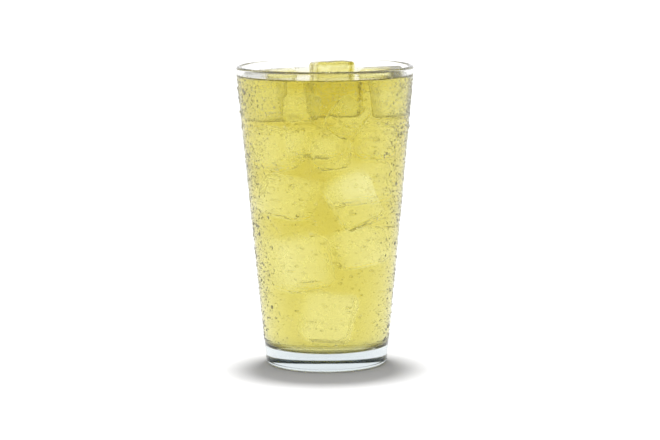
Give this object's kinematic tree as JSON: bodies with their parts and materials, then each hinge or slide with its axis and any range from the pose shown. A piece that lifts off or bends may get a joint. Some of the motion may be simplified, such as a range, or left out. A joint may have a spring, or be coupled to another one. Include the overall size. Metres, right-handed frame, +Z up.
{
  "type": "glass of lemonade",
  "caption": "Tall straight-sided pint glass of cloudy pale yellow lemonade, filled nearly to the rim, with ice cubes standing out of the drink.",
  "frame": {"origin": "middle of the foot, on the surface that the glass stands on", "axes": "+Z up along the axis of the glass; the side that faces the viewer faces -Y; +X to the viewer's right"},
  "size_m": [0.088, 0.088, 0.1513],
  "materials": {
    "glass": "clear polished soda-lime glass with fine condensation",
    "lemonade": "cloudy pale yellow drink with a still, glossy surface",
    "ice": "wet, partly cloudy ice"
  },
  "bodies": {
    "root": {"glass": "glass", "lemonade": "lemonade", "ice_right": "ice", "ice_middle": "ice", "ice_left": "ice"}
  },
  "joints": []
}
